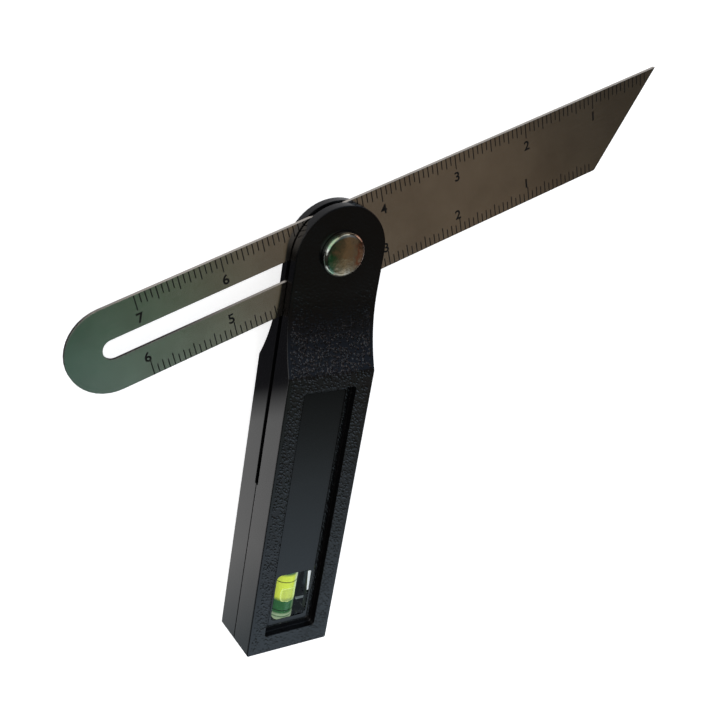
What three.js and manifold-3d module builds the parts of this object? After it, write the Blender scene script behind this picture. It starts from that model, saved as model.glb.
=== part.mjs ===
// Sliding bevel with a slotted steel blade and a vial level in its moulded handle.
// Millimetres, +Z up. The part lies on its back: +Y runs up the handle to its head,
// +X is the side that the blade's point leans to, and +Z is the front face.
// The origin is the middle of the rear face.

import * as THREE from 'three';
import { mergeVertices } from 'three/addons/utils/BufferGeometryUtils.js';
import Module from 'manifold-3d';

// Blade
const bladeLength = 200;
const bladeWidth = 25.4;
const bladeThickness = 1;
const slotWidth = 6;
const slotEndInset = 13.4;
const slotTipInset = 110;
const pivotToTip = 118.1;
const bladeTiltDegrees = 20.77;

// Handle outline, measured from the pivot
const handleWidth = 29.1;
const bodyThickness = 18.4;
const headThickness = 7;
const pivotToTop = 14;
const pivotToRamp = 12.5;
const pivotToShoulder = 35.8;
const pivotToBottom = 134.7;
const cornerRadius = 1.2;
const edgeRounding = 0.35;
const endRounding = 0.5;

// Handle walls, ribs and blade slot
const sideWall = 2;
const endWall = 2.2;
const faceWall = 2;
const ribThickness = 1.4;
const pivotToSlotEnd = 75.35;
const pivotToHollow = 20;
const seamWidth = 0.4;
const seamDepth = 0.35;
const guideRibShares = [0.25, 0.5, 0.75];
const bodyRibShare = 0.62;

// Recess in the front face, with the clear panel and the label on it
const recessWidth = 18;
const recessDepth = 2.2;
const pivotToRecess = 40.2;
const pivotToRecessEnd = 127.95;
const recessCornerRadius = 1;
const borderWidth = 1.9;
const panelThickness = 1.05;
const labelThickness = 0.15;
const panelSink = 0.1;
const panelFloor = 1.5;
const panelGap = 0.15;
const panelCornerRadius = 0.6;
const sightBorder = 0.65;
const sightCornerRadius = 1.6;
const pivotToSight = 106.85;
const pivotToSightEnd = 124.2;
const labelMargin = 0.3;

// Vial
const vialRadius = 4.2;
const vialWall = 0.8;
const vialLength = 20.1;
const vialEndWall = 2.9;
const vialGap = 0.1;
const pivotToVial = 116.45;
const plugLength = 2.2;
const bubbleLength = 7.2;
const bubbleWidth = 4.4;
const bubbleDepth = 1.7;
const bubbleTravel = 2.8;
const cradleSpacing = 11.6;
const cradleThickness = 1.2;

// Side lens, set in the right side wall beside the vial
const lensBelow = 5.9;
const lensAbove = 3.1;
const pivotToLens = 106.3;
const pivotToLensEnd = 126.1;
const lensCornerRadius = 2.5;
const lensSink = 0.25;
const lensFlange = 0.9;
const lensFlangeThickness = 0.8;

// Clamp bolt, washers and wing nut
const boltRadius = 2.45;
const boltLength = 16;
const boltHeadRadius = 6.7;
const boltHeadHeight = 3;
const boltRimHeight = 0.7;
const boltNeckWidth = 5;
const boltNeckDepth = 2.2;
const boltTipChamfer = 0.5;
const frictionWasherRadius = 8;
const frictionWasherThickness = 0.4;
const plainWasherRadius = 5.5;
const plainWasherThickness = 1;
const nutBaseRadius = 5.5;
const nutTopRadius = 4.3;
const nutHubHeight = 6;
const wingSpan = 26;
const wingHeight = 13;
const wingThickness = 2.2;
const wingTipRadius = 3.1;
const wingRootHeight = 0.9;
const wingTiltDegrees = 30;

// Shell screws
const screwOffset = 9.2;
const pivotToUpperScrews = 82;
const pivotToLowerScrews = 130.9;
const screwRadius = 1.3;
const screwLength = 10.5;
const screwPointLength = 1.2;
const screwHeadRadius = 2.5;
const screwHeadHeight = 1.9;
const screwHeadRounding = 0.5;
const screwCrossWidth = 0.8;
const screwCrossLength = 2.9;
const screwCrossDepth = 1.1;
const counterboreDepth = 4;
const bossWall = 0.9;

// Clearances and overrun
const turningGap = 0.25;
const fitGap = 0.1;
const overrun = 1;

// Facets
const arcSteps = 10;
const roundingSteps = 2;
const discSteps = 64;
const headSteps = 48;
const domeSteps = 7;
const vialSteps = 40;
const rodSteps = 24;

// Sizes worked out from the ones above, with the pivot at zero
const halfWidth = handleWidth / 2;
const bodyHalf = bodyThickness / 2;
const headHalf = headThickness / 2;
const top = pivotToTop;
const ramp = -pivotToRamp;
const shoulder = -pivotToShoulder;
const bottom = -pivotToBottom;
const headCentre = pivotToTop - halfWidth;
const rampRun = pivotToShoulder - pivotToRamp;
const rampRise = bodyHalf - headHalf;
const rampRadius = (rampRun * rampRun + rampRise * rampRise) / (2 * rampRise);
const rampAngle = Math.asin(rampRun / rampRadius);
const slotHalf = bladeThickness / 2 + frictionWasherThickness;
const slotEnd = -pivotToSlotEnd;
const hollowHalfWidth = halfWidth - sideWall;
const hollowTop = -pivotToHollow;
const hollowBottom = bottom + endWall;
const recessTop = -pivotToRecess;
const recessBottom = -pivotToRecessEnd;
const recessFloor = bodyHalf - recessDepth;
const panelTop = recessTop - borderWidth;
const panelBottom = recessBottom + borderWidth;
const panelHalfWidth = recessWidth / 2 - borderWidth;
const panelSeat = recessFloor - panelSink - labelThickness - panelThickness;
const frontCeiling = panelSeat - panelFloor;
const rearCeiling = bodyHalf - faceWall;
const sightHalfWidth = panelHalfWidth - panelGap - sightBorder;
const sightTop = -pivotToSight;
const sightBottom = -pivotToSightEnd;
const vialCentre = -pivotToVial;
const vialAxis = panelSeat - fitGap - vialRadius;
const vialBore = vialRadius - vialWall;
const chamberHalf = vialLength / 2 - vialEndWall;
const liquidRadius = vialBore - vialGap;
const lensTop = -pivotToLens;
const lensBottom = -pivotToLensEnd;
const lensInner = hollowHalfWidth - lensFlangeThickness - fitGap;
const screwHoleRadius = screwRadius + fitGap;
const counterboreRadius = screwHeadRadius + turningGap;
const frontBossRadius = screwHoleRadius + bossWall;
const rearBossRadius = counterboreRadius + bossWall;
const screwSeat = bodyHalf - counterboreDepth;
const screwPlaces = [
  [-screwOffset, -pivotToUpperScrews],
  [screwOffset, -pivotToUpperScrews],
  [-screwOffset, -pivotToLowerScrews],
  [screwOffset, -pivotToLowerScrews],
];

const wasm = await Module();
wasm.setup();

// Closed solid of a three.js geometry, with its shared vertices welded
function solidOf(geometry) {
  geometry.deleteAttribute('normal');
  geometry.deleteAttribute('uv');
  const welded = mergeVertices(geometry);
  const corners = welded.index.array;
  const triangles = [];
  for (let i = 0; i < corners.length; i += 3) {
    const [a, b, c] = corners.slice(i, i + 3);
    if (a !== b && b !== c && c !== a) triangles.push(a, b, c);
  }
  return new wasm.Manifold(new wasm.Mesh({
    numProp: 3,
    vertProperties: new Float32Array(welded.attributes.position.array),
    triVerts: new Uint32Array(triangles),
  }));
}

function geometryOf(solid) {
  const mesh = solid.getMesh();
  const geometry = new THREE.BufferGeometry();
  geometry.setAttribute('position', new THREE.BufferAttribute(mesh.vertProperties, 3));
  geometry.setIndex(new THREE.BufferAttribute(mesh.triVerts, 1));
  geometry.computeVertexNormals();
  return geometry;
}

// Shape pushed out along Z from low to high, with its two rims rounded on request
function prism(shape, low, high, rounding = 0) {
  const geometry = new THREE.ExtrudeGeometry(shape, {
    depth: high - low - 2 * rounding,
    curveSegments: arcSteps,
    bevelEnabled: rounding > 0,
    bevelSize: rounding,
    bevelThickness: rounding,
    bevelOffset: -rounding,
    bevelSegments: roundingSteps,
  });
  return geometry.translate(0, 0, low + rounding);
}

// The same for a profile drawn with Y to the right and Z up, pushed out along X
function sidePrism(profile, low, high, rounding = 0) {
  const xAxis = new THREE.Vector3(1, 0, 0);
  const yAxis = new THREE.Vector3(0, 1, 0);
  const zAxis = new THREE.Vector3(0, 0, 1);
  const sideways = new THREE.Matrix4().makeBasis(yAxis, zAxis, xAxis);
  return prism(profile, low, high, rounding).applyMatrix4(sideways);
}

// Block between two corners
function block(x0, x1, y0, y1, z0, z1) {
  const geometry = new THREE.BoxGeometry(x1 - x0, y1 - y0, z1 - z0);
  return geometry.translate((x0 + x1) / 2, (y0 + y1) / 2, (z0 + z1) / 2);
}

// Profile of radius and height, turned about the Z axis
function turned(points, steps) {
  const profile = points.map(([radius, height]) => new THREE.Vector2(radius, height));
  return new THREE.LatheGeometry(profile, steps).rotateX(Math.PI / 2);
}

// Round rod along Z
function rod(radius, low, high, steps = rodSteps) {
  return turned([[0, low], [radius, low], [radius, high], [0, high]], steps);
}

// Ring along Z
function ring(inner, outer, low, high, steps) {
  return turned([[inner, low], [outer, low], [outer, high], [inner, high], [inner, low]], steps);
}

// Rectangle with round corners
function roundedRectangle(left, right, low, high, radius) {
  const shape = new THREE.Shape();
  shape.absarc(left + radius, low + radius, radius, Math.PI, 1.5 * Math.PI, false);
  shape.absarc(right - radius, low + radius, radius, 1.5 * Math.PI, 2 * Math.PI, false);
  shape.absarc(right - radius, high - radius, radius, 0, 0.5 * Math.PI, false);
  shape.absarc(left + radius, high - radius, radius, 0.5 * Math.PI, Math.PI, false);
  shape.closePath();
  return shape;
}

// Whole handle before it is split: a thick body that sweeps down to thin round cheeks
function handleBlank() {
  const profile = new THREE.Shape();
  profile.absarc(bottom + endRounding, endRounding - bodyHalf, endRounding, Math.PI, 1.5 * Math.PI, false);
  profile.absarc(ramp, -headHalf - rampRadius, rampRadius, 0.5 * Math.PI + rampAngle, 0.5 * Math.PI, true);
  profile.lineTo(top + overrun, -headHalf);
  profile.lineTo(top + overrun, headHalf);
  profile.absarc(ramp, headHalf + rampRadius, rampRadius, -0.5 * Math.PI, -0.5 * Math.PI - rampAngle, true);
  profile.absarc(bottom + endRounding, bodyHalf - endRounding, endRounding, 0.5 * Math.PI, Math.PI, false);
  profile.closePath();

  const plan = new THREE.Shape();
  plan.absarc(cornerRadius - halfWidth, bottom + cornerRadius, cornerRadius, Math.PI, 1.5 * Math.PI, false);
  plan.absarc(halfWidth - cornerRadius, bottom + cornerRadius, cornerRadius, 1.5 * Math.PI, 2 * Math.PI, false);
  plan.lineTo(halfWidth, top + overrun);
  plan.lineTo(-halfWidth, top + overrun);
  plan.closePath();

  const rim = [[0, -headHalf]];
  for (let i = 0; i <= roundingSteps; i += 1) {
    const turn = (0.5 * Math.PI * i) / roundingSteps;
    rim.push([
      halfWidth - edgeRounding * (1 - Math.sin(turn)),
      edgeRounding * (1 - Math.cos(turn)) - headHalf,
    ]);
  }
  const lowerRim = rim.slice();
  lowerRim.reverse().forEach(([radius, height]) => rim.push([radius, -height]));
  const headDisc = turned(rim, discSteps).translate(0, headCentre, 0);
  const belowHead = block(
    -halfWidth - overrun, halfWidth + overrun,
    bottom - overrun, headCentre,
    -bodyHalf - overrun, bodyHalf + overrun,
  );

  return solidOf(sidePrism(profile, -halfWidth, halfWidth, edgeRounding))
    .intersect(solidOf(prism(plan, -bodyHalf - overrun, bodyHalf + overrun)))
    .intersect(solidOf(headDisc).add(solidOf(belowHead)));
}

// Hollow of one half as a profile on its outer side, which follows the ramp up to its end wall
function hollow(ceiling) {
  const innerRadius = rampRadius + faceWall;
  const arcLow = Math.acos((headHalf + rampRadius - ceiling) / innerRadius);
  const arcHigh = Math.asin((ramp - hollowTop) / innerRadius);
  const profile = new THREE.Shape();
  profile.moveTo(hollowBottom, -overrun);
  profile.lineTo(hollowBottom, ceiling);
  profile.absarc(
    ramp, headHalf + rampRadius, innerRadius,
    -0.5 * Math.PI - arcLow, -0.5 * Math.PI - arcHigh, false,
  );
  profile.lineTo(hollowTop, -overrun);
  profile.closePath();
  return sidePrism(profile, -hollowHalfWidth, hollowHalfWidth);
}

// Cross ribs that guide the blade, stop its slot and divide the body
function ribPlaces() {
  const slotSpan = hollowTop - slotEnd;
  const closedSpan = slotEnd - (vialCentre + vialLength / 2);
  const guides = guideRibShares.map((share) => hollowTop - share * slotSpan);
  return [...guides, slotEnd - ribThickness / 2, slotEnd - bodyRibShare * closedSpan];
}

function ribbedHollow(ceiling) {
  let space = solidOf(hollow(ceiling));
  ribPlaces().forEach((y) => {
    space = space.subtract(solidOf(block(
      -halfWidth, halfWidth,
      y - ribThickness / 2, y + ribThickness / 2,
      -overrun - overrun, bodyHalf,
    )));
  });
  return space;
}

// Slot for the blade between the halves, open at the head and at both sides
function bladeSlot() {
  return solidOf(block(
    -halfWidth - overrun, halfWidth + overrun,
    slotEnd, top + overrun,
    -slotHalf, slotHalf,
  ));
}

// Shallow groove where the closed rims of the halves meet
function seamGroove() {
  const outer = block(
    -halfWidth - overrun, halfWidth + overrun,
    bottom - overrun, slotEnd,
    -seamWidth / 2, seamWidth / 2,
  );
  const inner = block(
    seamDepth - halfWidth, halfWidth - seamDepth,
    bottom + seamDepth, slotEnd + overrun,
    -seamWidth, seamWidth,
  );
  return solidOf(outer).subtract(solidOf(inner));
}

// Opening in the right side wall, grown by a margin for the lens's flange
function lensShape(margin) {
  return roundedRectangle(
    lensBottom - margin, lensTop + margin,
    -lensBelow - margin, lensAbove + margin,
    lensCornerRadius + margin,
  );
}

function lensOpening() {
  return solidOf(sidePrism(lensShape(0), hollowHalfWidth - overrun, halfWidth + overrun));
}

function vialSpace(clearance) {
  const length = vialLength + 2 * clearance;
  const geometry = rod(vialRadius + clearance, -length / 2, length / 2, vialSteps);
  return geometry.rotateX(-Math.PI / 2).translate(0, vialCentre, vialAxis);
}

function frontShell() {
  const half = block(
    -halfWidth - overrun, halfWidth + overrun,
    bottom - overrun, top + overrun,
    0, bodyHalf + overrun,
  );
  let shell = handleBlank().intersect(solidOf(half)).subtract(ribbedHollow(frontCeiling));
  screwPlaces.forEach(([x, y]) => {
    const boss = rod(frontBossRadius, 0, recessFloor - fitGap).translate(x, y, 0);
    shell = shell.add(solidOf(boss));
  });

  const recess = roundedRectangle(
    -recessWidth / 2, recessWidth / 2, recessBottom, recessTop, recessCornerRadius,
  );
  const seat = roundedRectangle(
    -panelHalfWidth, panelHalfWidth, panelBottom, panelTop, panelCornerRadius,
  );
  const sight = block(
    -sightHalfWidth - labelMargin, sightHalfWidth + labelMargin,
    sightBottom - labelMargin, sightTop + labelMargin,
    0, panelSeat + panelSink,
  );
  const vialRoom = block(
    -vialRadius - turningGap, vialRadius + turningGap,
    vialCentre - vialLength / 2 - turningGap, vialCentre + vialLength / 2 + turningGap,
    0, panelSeat,
  );
  const squareHole = block(
    -boltNeckWidth / 2 - fitGap, boltNeckWidth / 2 + fitGap,
    -boltNeckWidth / 2 - fitGap, boltNeckWidth / 2 + fitGap,
    0, headHalf + overrun,
  );
  shell = shell
    .subtract(bladeSlot())
    .subtract(seamGroove())
    .subtract(lensOpening())
    .subtract(solidOf(prism(recess, recessFloor, bodyHalf + overrun)))
    .subtract(solidOf(prism(seat, panelSeat, recessFloor + overrun)))
    .subtract(solidOf(sight))
    .subtract(solidOf(vialRoom))
    .subtract(solidOf(squareHole));
  screwPlaces.forEach(([x, y]) => {
    const pilot = rod(screwHoleRadius, -overrun, screwLength - screwSeat + fitGap);
    shell = shell.subtract(solidOf(pilot.translate(x, y, 0)));
  });
  return geometryOf(shell);
}

// Pair of ribs that carry the vial up to its axis, short of the lens on the right
function cradle() {
  const [lower, upper] = [-0.5, 0.5].map((share) => {
    const y = vialCentre + share * cradleSpacing;
    return solidOf(block(
      turningGap - hollowHalfWidth, lensInner - turningGap,
      y - cradleThickness / 2, y + cradleThickness / 2,
      -rearCeiling - faceWall / 2, vialAxis,
    ));
  });
  return lower.add(upper).subtract(solidOf(vialSpace(fitGap)));
}

function rearShell() {
  const half = block(
    -halfWidth - overrun, halfWidth + overrun,
    bottom - overrun, top + overrun,
    -bodyHalf - overrun, 0,
  );
  const flipped = hollow(rearCeiling).rotateY(Math.PI);
  let space = solidOf(flipped);
  ribPlaces().forEach((y) => {
    space = space.subtract(solidOf(block(
      -halfWidth, halfWidth,
      y - ribThickness / 2, y + ribThickness / 2,
      -bodyHalf, overrun + overrun,
    )));
  });
  let shell = handleBlank().intersect(solidOf(half)).subtract(space);
  screwPlaces.forEach(([x, y]) => {
    const boss = rod(rearBossRadius, -rearCeiling - faceWall / 2, 0).translate(x, y, 0);
    shell = shell.add(solidOf(boss).intersect(solidOf(block(
      -hollowHalfWidth - sideWall / 2, hollowHalfWidth + sideWall / 2,
      hollowBottom - endWall / 2, slotEnd,
      -bodyHalf, 0,
    ))));
  });
  shell = shell
    .add(cradle())
    .subtract(bladeSlot())
    .subtract(seamGroove())
    .subtract(lensOpening())
    .subtract(solidOf(rod(boltRadius + turningGap, -headHalf - overrun, 0)));
  screwPlaces.forEach(([x, y]) => {
    const hole = rod(screwHoleRadius, -screwSeat - overrun, overrun);
    const counterbore = rod(counterboreRadius, -bodyHalf - overrun, -screwSeat);
    shell = shell
      .subtract(solidOf(hole.translate(x, y, 0)))
      .subtract(solidOf(counterbore.translate(x, y, 0)));
  });
  return geometryOf(shell);
}

// Slotted blade in its own frame: the pivot at zero, the point along +X on the upper edge
function blade() {
  const half = bladeWidth / 2;
  const roundCentre = pivotToTip - bladeLength + half;
  const outline = new THREE.Shape();
  outline.moveTo(pivotToTip - bladeWidth, -half);
  outline.lineTo(pivotToTip, half);
  outline.absarc(roundCentre, 0, half, 0.5 * Math.PI, 1.5 * Math.PI, false);
  outline.closePath();
  const slotRadius = slotWidth / 2;
  const slot = new THREE.Path();
  slot.absarc(pivotToTip - slotTipInset, 0, slotRadius, -0.5 * Math.PI, 0.5 * Math.PI, false);
  slot.absarc(
    pivotToTip - bladeLength + slotEndInset, 0, slotRadius,
    0.5 * Math.PI, 1.5 * Math.PI, false,
  );
  slot.closePath();
  outline.holes.push(slot);
  return prism(outline, -bladeThickness / 2, bladeThickness / 2);
}

// Domed bolt with a square neck, its head seated at zero and its shank running down
function clampBolt() {
  const domeRise = boltHeadHeight - boltRimHeight;
  const domeRadius = (boltHeadRadius * boltHeadRadius + domeRise * domeRise) / (2 * domeRise);
  const domeAngle = Math.asin(boltHeadRadius / domeRadius);
  const head = [[0, 0], [boltHeadRadius, 0]];
  for (let i = 0; i < domeSteps; i += 1) {
    const turn = domeAngle * (1 - i / domeSteps);
    head.push([domeRadius * Math.sin(turn), boltHeadHeight - domeRadius * (1 - Math.cos(turn))]);
  }
  head.push([0, boltHeadHeight]);
  const neck = block(
    -boltNeckWidth / 2, boltNeckWidth / 2,
    -boltNeckWidth / 2, boltNeckWidth / 2,
    -boltNeckDepth, boltRimHeight,
  );
  const shank = turned([
    [0, -boltLength],
    [boltRadius - boltTipChamfer, -boltLength],
    [boltRadius, boltTipChamfer - boltLength],
    [boltRadius, boltRimHeight],
    [0, boltRimHeight],
  ], rodSteps);
  return geometryOf(solidOf(turned(head, headSteps)).add(solidOf(neck)).add(solidOf(shank)));
}

// Wing nut standing on its base, with a coned hub and two round-tipped ears
function wingNut() {
  const hub = turned([
    [0, 0],
    [nutBaseRadius, 0],
    [nutTopRadius, nutHubHeight],
    [0, nutHubHeight],
  ], headSteps);
  const tip = wingSpan / 2;
  const tipCentre = tip - wingTipRadius;
  const tipHeight = wingHeight - wingTipRadius;
  let nut = solidOf(hub);
  [1, -1].forEach((side) => {
    const ear = new THREE.Shape();
    ear.moveTo(0, wingRootHeight);
    ear.lineTo(side * nutTopRadius, wingRootHeight);
    ear.quadraticCurveTo(side * tip, wingRootHeight, side * tip, tipHeight);
    const start = side > 0 ? 0 : Math.PI;
    ear.absarc(side * tipCentre, tipHeight, wingTipRadius, start, Math.PI - start, side < 0);
    ear.quadraticCurveTo(
      side * (tipCentre - wingTipRadius), nutHubHeight - wingRootHeight,
      side * nutTopRadius / 2, nutHubHeight - wingRootHeight,
    );
    ear.lineTo(0, nutHubHeight - wingRootHeight);
    ear.closePath();
    const plate = prism(ear, -wingThickness / 2, wingThickness / 2, wingThickness / 4);
    nut = nut.add(solidOf(plate.rotateX(Math.PI / 2)));
  });
  const bore = rod(boltRadius + fitGap, -overrun, wingHeight + overrun);
  return geometryOf(nut.subtract(solidOf(bore)));
}

// Pan-head screw, its head seated at zero and standing up, its shank running down
function shellScrew() {
  const flat = screwHeadHeight - screwHeadRounding;
  const outline = turned([
    [0, -screwLength],
    [screwRadius, screwPointLength - screwLength],
    [screwRadius, 0],
    [screwHeadRadius, 0],
    [screwHeadRadius, flat],
    [screwHeadRadius - screwHeadRounding, screwHeadHeight],
    [0, screwHeadHeight],
  ], rodSteps);
  const low = screwHeadHeight - screwCrossDepth;
  const high = screwHeadHeight + overrun;
  const across = screwCrossLength / 2;
  const thin = screwCrossWidth / 2;
  return geometryOf(solidOf(outline)
    .subtract(solidOf(block(-across, across, -thin, thin, low, high)))
    .subtract(solidOf(block(-thin, thin, -across, across, low, high))));
}

function windowPanel() {
  const outline = roundedRectangle(
    panelGap - panelHalfWidth, panelHalfWidth - panelGap,
    panelBottom + panelGap, panelTop - panelGap, panelCornerRadius,
  );
  return prism(outline, 0, panelThickness);
}

// Thin label with a clear window over the vial
function labelPlate() {
  const outline = roundedRectangle(
    panelGap - panelHalfWidth, panelHalfWidth - panelGap,
    panelBottom + panelGap, panelTop - panelGap, panelCornerRadius,
  );
  outline.holes.push(roundedRectangle(
    -sightHalfWidth, sightHalfWidth, sightBottom, sightTop, sightCornerRadius,
  ));
  return prism(outline, 0, labelThickness);
}

// Lens that fills the side opening, with a flange behind the wall
function sideLens() {
  const face = sidePrism(lensShape(-fitGap), lensInner, halfWidth - lensSink);
  const flange = sidePrism(lensShape(lensFlange), lensInner, lensInner + lensFlangeThickness);
  return geometryOf(solidOf(face).add(solidOf(flange)));
}

// Vial along Z with its open end down, closed above
function vialTube() {
  const end = vialLength / 2;
  return turned([
    [vialBore, -end],
    [vialRadius, -end],
    [vialRadius, end],
    [0, end],
    [0, chamberHalf],
    [vialBore, chamberHalf],
    [vialBore, -end],
  ], vialSteps);
}

function vialPlug() {
  const inner = -chamberHalf - vialGap;
  return rod(liquidRadius, inner - plugLength, inner, vialSteps);
}

// Bubble's oval space against the wall of the chamber, as long as the given length
function bubbleSolid(length, width, depth) {
  const unit = new THREE.SphereGeometry(1, rodSteps, rodSteps / 2);
  const oval = solidOf(unit.scale(width / 2, depth, length / 2).translate(0, liquidRadius, 0));
  return oval.intersect(solidOf(rod(liquidRadius, -length, length, vialSteps)));
}

// Liquid with a trough along its top, where the bubble travels
function vialLiquid() {
  const half = chamberHalf - vialGap;
  const trough = bubbleSolid(
    bubbleLength + 2 * bubbleTravel + 4 * turningGap,
    bubbleWidth + 2 * turningGap,
    bubbleDepth + turningGap,
  );
  const straight = block(
    -bubbleWidth / 2 - turningGap, bubbleWidth / 2 + turningGap,
    liquidRadius - bubbleDepth - turningGap, liquidRadius + overrun,
    -bubbleLength / 2 - bubbleTravel - turningGap, bubbleLength / 2 + bubbleTravel + turningGap,
  );
  return geometryOf(solidOf(rod(liquidRadius, -half, half, vialSteps))
    .subtract(solidOf(straight).add(trough)));
}

function vialBubble() {
  return geometryOf(bubbleSolid(bubbleLength, bubbleWidth, bubbleDepth));
}

const finishes = {
  mouldedPlastic: { color: 0x1b1d20, roughness: 0.45, metalness: 0 },
  labelFilm: { color: 0x2b2f33, roughness: 0.3, metalness: 0 },
  clearPlastic: { color: 0xdfe6e6, roughness: 0.08, metalness: 0, transparent: true, opacity: 0.3 },
  vialLiquid: { color: 0xb9dc3c, roughness: 0.1, metalness: 0, transparent: true, opacity: 0.8 },
  air: { color: 0xf2f8e0, roughness: 0.05, metalness: 0, transparent: true, opacity: 0.4 },
  bladeSteel: { color: 0x6e675f, roughness: 0.32, metalness: 1 },
  brightSteel: { color: 0xd8d8d4, roughness: 0.08, metalness: 1 },
  platedSteel: { color: 0xb4b7b8, roughness: 0.25, metalness: 1 },
  washerNylon: { color: 0x1a1a1a, roughness: 0.5, metalness: 0 },
};

function piece(name, geometry, finish) {
  const mesh = new THREE.Mesh(geometry, new THREE.MeshStandardMaterial(finishes[finish]));
  mesh.name = name;
  return mesh;
}

const handle = new THREE.Group();
handle.add(piece('front_shell', frontShell(), 'mouldedPlastic'));
handle.add(piece('rear_shell', rearShell(), 'mouldedPlastic'));
handle.add(piece('side_lens', sideLens(), 'clearPlastic'));

const panel = piece('window_panel', windowPanel(), 'clearPlastic');
panel.position.z = panelSeat;
const label = piece('label_plate', labelPlate(), 'labelFilm');
label.position.z = panelSeat + panelThickness;
handle.add(panel, label);

screwPlaces.forEach(([x, y], i) => {
  const screw = piece(`shell_screw_${i + 1}`, shellScrew(), 'platedSteel');
  screw.rotation.x = Math.PI;
  screw.position.set(x, y, -screwSeat);
  handle.add(screw);
});

// The vial is modelled upright and laid along the handle, its bubble towards the front
const vial = new THREE.Group();
vial.add(piece('vial_tube', vialTube(), 'clearPlastic'));
vial.add(piece('vial_plug', vialPlug(), 'clearPlastic'));
vial.add(piece('vial_liquid', vialLiquid(), 'vialLiquid'));
vial.add(piece('vial_bubble', vialBubble(), 'air'));
vial.rotation.set(Math.PI / 2, Math.PI, 0);
vial.position.set(0, vialCentre, vialAxis);
handle.add(vial);

const bolt = piece('clamp_bolt', clampBolt(), 'brightSteel');
bolt.position.z = headHalf;
handle.add(bolt);

const plainWasher = piece('plain_washer', ring(
  boltRadius + turningGap, plainWasherRadius, -plainWasherThickness, 0, headSteps,
), 'platedSteel');
plainWasher.position.z = -headHalf;
handle.add(plainWasher);

// The nut hangs upside down, so its wings are turned the other way about its own axis
const nut = piece('wing_nut', wingNut(), 'platedSteel');
nut.rotation.set(Math.PI, 0, THREE.MathUtils.degToRad(-wingTiltDegrees));
nut.position.z = -headHalf - plainWasherThickness;
handle.add(nut);

// Blade and the washers that turn with it
const swinging = new THREE.Group();
swinging.rotation.z = THREE.MathUtils.degToRad(bladeTiltDegrees);
swinging.add(piece('blade', blade(), 'bladeSteel'));
const washerShape = ring(
  boltRadius + turningGap, frictionWasherRadius, 0, frictionWasherThickness, headSteps,
);
const frontWasher = piece('front_friction_washer', washerShape, 'washerNylon');
frontWasher.position.z = bladeThickness / 2;
const rearWasher = piece('rear_friction_washer', washerShape, 'washerNylon');
rearWasher.position.z = -slotHalf;
swinging.add(frontWasher, rearWasher);
handle.add(swinging);

handle.position.set(0, (pivotToShoulder + pivotToBottom) / 2, bodyHalf);

const group = new THREE.Group();
group.add(handle);
export default group;
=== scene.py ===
import bmesh
import bpy
import math
from mathutils import Matrix, Vector


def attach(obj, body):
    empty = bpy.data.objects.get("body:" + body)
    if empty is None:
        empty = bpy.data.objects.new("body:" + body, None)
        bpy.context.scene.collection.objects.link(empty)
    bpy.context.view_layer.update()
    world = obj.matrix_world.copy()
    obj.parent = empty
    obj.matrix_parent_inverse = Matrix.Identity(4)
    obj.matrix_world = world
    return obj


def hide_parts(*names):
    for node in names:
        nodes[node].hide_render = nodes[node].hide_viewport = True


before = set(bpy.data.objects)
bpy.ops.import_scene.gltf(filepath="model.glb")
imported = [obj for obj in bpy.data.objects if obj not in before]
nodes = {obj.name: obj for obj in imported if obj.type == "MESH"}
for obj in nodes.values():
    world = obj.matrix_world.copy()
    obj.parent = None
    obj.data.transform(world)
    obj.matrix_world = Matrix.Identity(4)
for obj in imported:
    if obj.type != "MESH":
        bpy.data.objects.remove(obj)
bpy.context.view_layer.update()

mm = 0.001
# Points closer than this are one
weld = 0.002 * mm
# Faces that meet flatter than this are one
flatLimit = math.radians(0.6)
pivot = Vector((0, 85.25, 9.2)) * mm
bladeTilt = math.radians(20.77)
vialMiddle = Vector((0, -31.2, 10.6)) * mm


# Small tools

# sRGB hex to a linear colour
def linearColour(code):
    def toLinear(share):
        return share / 12.92 if share <= 0.04045 else ((share + 0.055) / 1.055) ** 2.4
    red, green, blue = (int(code[i:i + 2], 16) / 255 for i in (1, 3, 5))
    return (toLinear(red), toLinear(green), toLinear(blue), 1.0)


# A shader node with its settings and the sockets linked into it
def addNode(tree, kind, settings=None, links=None):
    node = tree.nodes.new(kind)
    for key, value in (settings or {}).items():
        if isinstance(key, str) and hasattr(node, key):
            setattr(node, key, value)
        else:
            node.inputs[key].default_value = value
    for key, source in (links or {}).items():
        tree.links.new(source, node.inputs[key])
    return node


def newMaterial(name):
    material = bpy.data.materials.new(name)
    material.use_nodes = True
    material.node_tree.nodes.clear()
    return material, material.node_tree


def showSurface(tree, shader):
    output = addNode(tree, "ShaderNodeOutputMaterial")
    tree.links.new(shader, output.inputs["Surface"])


def colourRamp(tree, source, stops):
    ramp = addNode(tree, "ShaderNodeValToRGB", links={"Fac": source})
    while len(ramp.color_ramp.elements) < len(stops):
        ramp.color_ramp.elements.new(1)
    for element, (place, colour) in zip(ramp.color_ramp.elements, stops):
        element.position = place
        element.color = colour if len(colour) == 4 else (*colour, 1)
    return ramp.outputs["Color"]


def grey(value):
    return (value, value, value, 1)


def coordinates(tree, kind):
    return addNode(tree, "ShaderNodeTexCoord").outputs[kind]


def splitVector(tree, vector):
    return addNode(tree, "ShaderNodeSeparateXYZ", links={"Vector": vector}).outputs


# Noise whose size is a length; roughness 0.5 is the node's own
def noise(tree, place, size, detail, roughness=0.5, output="Fac"):
    return addNode(tree, "ShaderNodeTexNoise", {
        "Scale": 1 / size, "Detail": detail, "Roughness": roughness,
    }, {"Vector": place}).outputs[output]


def mapRange(tree, value, source, target, smooth=False):
    return addNode(tree, "ShaderNodeMapRange", {
        "interpolation_type": "SMOOTHSTEP" if smooth else "LINEAR",
        "From Min": source[0], "From Max": source[1], "To Min": target[0], "To Max": target[1],
    }, {"Value": value}).outputs["Result"]


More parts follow.
